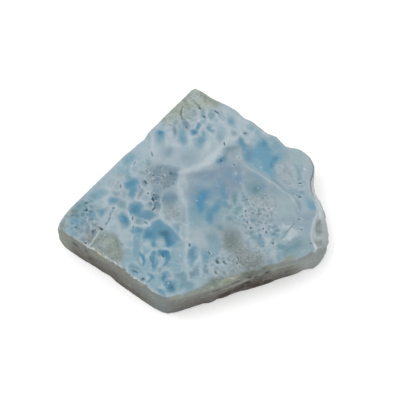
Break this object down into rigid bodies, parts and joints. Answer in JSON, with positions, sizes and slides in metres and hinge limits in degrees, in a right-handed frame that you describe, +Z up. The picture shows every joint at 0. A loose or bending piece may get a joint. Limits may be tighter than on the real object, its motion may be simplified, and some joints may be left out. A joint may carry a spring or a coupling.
{
  "type": "larimar slab",
  "caption": "Thin pointed slab of blue and white stone, polished flat on top, sawn and broken at its edges, lying on its flat underside.",
  "frame": {"origin": "middle of the slab's box, at the flat underside", "axes": "+Z up through the polished face, +X along the slab's longest side from its left corner to its chipped right end, +Y towards the pointed tip"},
  "size_m": [0.0624, 0.0572, 0.0068],
  "materials": {
    "larimar": "polished on top, sawn matte on the sides and underside"
  },
  "bodies": {
    "root": {"larimar_slab": "larimar"}
  },
  "joints": []
}
